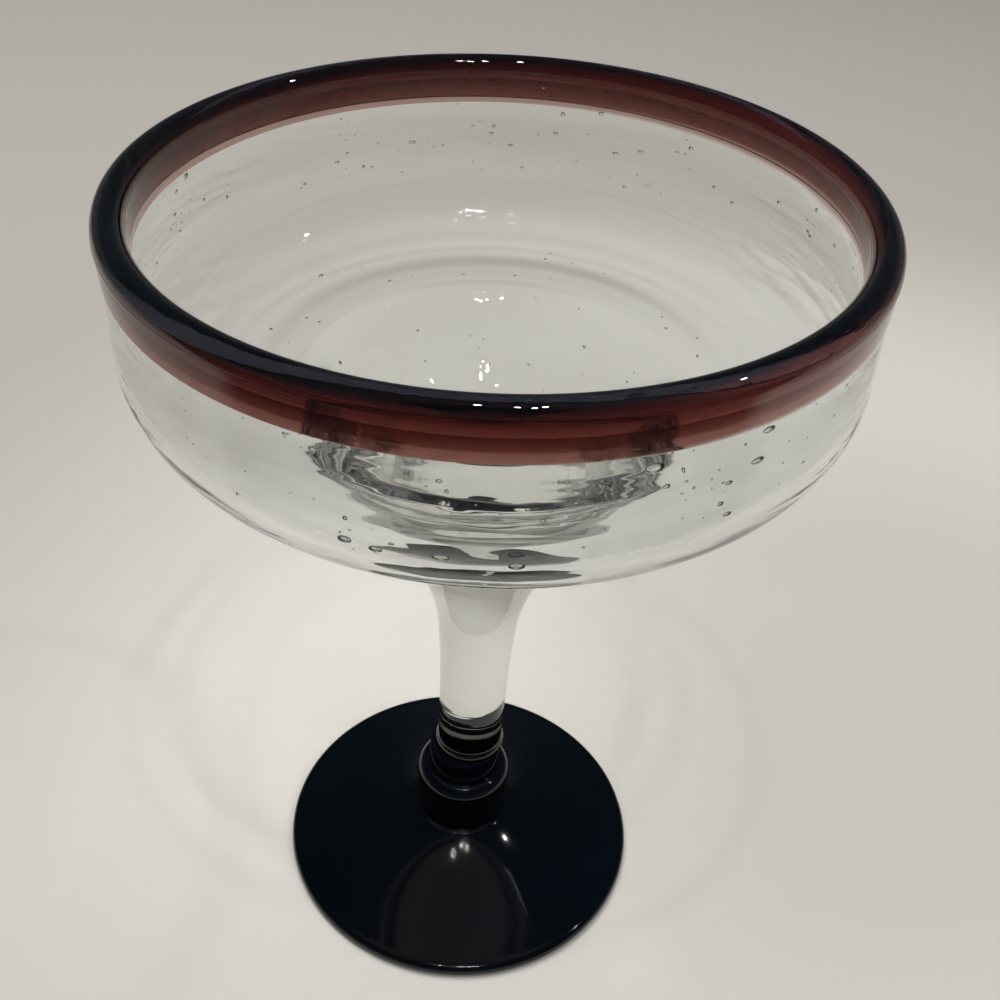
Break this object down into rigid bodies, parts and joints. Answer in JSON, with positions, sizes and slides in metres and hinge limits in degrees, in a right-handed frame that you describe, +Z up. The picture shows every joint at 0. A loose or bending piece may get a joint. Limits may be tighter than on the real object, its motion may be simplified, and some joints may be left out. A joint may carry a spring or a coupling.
{
  "type": "margarita glass",
  "caption": "Hand-blown margarita glass: wide clear bowl with a round well in its floor, a wine-red band and a dark rolled lip, clear trumpet stem, black hub and black round foot.",
  "frame": {"origin": "on the table, at the centre of the foot, which is under the middle of the rim", "axes": "+Z up along the stem; the picture looks along +Y from above, with +X to the right"},
  "size_m": [0.1272, 0.1271, 0.1672],
  "materials": {
    "clear_glass": "clear seeded soda-lime glass, fire polished",
    "wine_glass": "wine-red glass, fire polished",
    "lip_glass": "dark glass that reads as black, fire polished",
    "black_glass": "blue-black glass, fire polished"
  },
  "bodies": {
    "root": {"bowl": "clear_glass", "rim_band": "wine_glass", "lip_bead": "lip_glass", "stem": "clear_glass", "stem_collar": "clear_glass", "foot_hub": "black_glass", "foot": "black_glass"}
  },
  "joints": []
}
